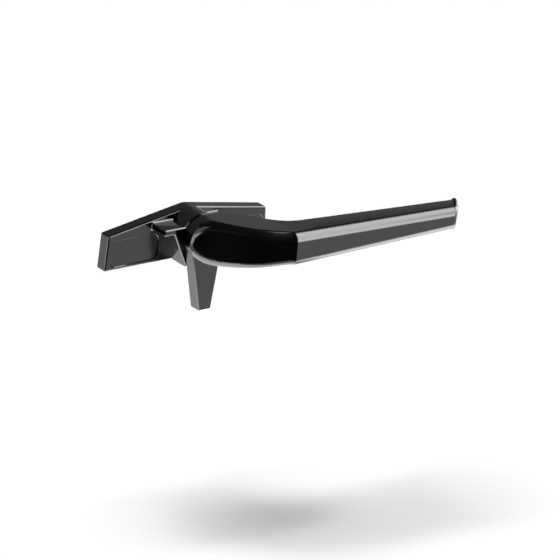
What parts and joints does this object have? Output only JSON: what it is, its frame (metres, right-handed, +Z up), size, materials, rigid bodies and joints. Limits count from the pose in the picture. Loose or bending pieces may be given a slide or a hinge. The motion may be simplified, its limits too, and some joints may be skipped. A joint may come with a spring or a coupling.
{
  "type": "window cam handle",
  "caption": "Black die-cast cam handle for an awning or casement window: a screw-on base with a swinging cranked lever whose tongue locks the sash.",
  "frame": {"origin": "on the spindle's axis, in the plane of the base's mounting face", "axes": "+X along the base towards the grip of the closed lever, -Y out of the sash towards the user, +Z up"},
  "size_m": [0.1481, 0.0427, 0.0383],
  "materials": {
    "black_paint": "semi-gloss black coating",
    "cover_plastic": "satin black",
    "bush_plastic": "natural acetal",
    "spring_steel": "oiled spring steel",
    "plated_steel": "zinc-plated"
  },
  "bodies": {
    "base": {"base_plate": "black_paint", "left_screw_cover": "cover_plastic", "right_screw_cover": "cover_plastic", "pivot_bush": "bush_plastic", "spring_washer": "spring_steel"},
    "lever": {"lever": "black_paint", "spindle": "plated_steel", "stop_washer": "plated_steel", "retaining_clip": "spring_steel"}
  },
  "joints": [
    {"name": "lever_swing", "type": "hinge", "parent": "base", "child": "lever", "pos_m": [0, 0, 0], "axis": [0, -1, 0], "range_deg": [0, 90]}
  ]
}
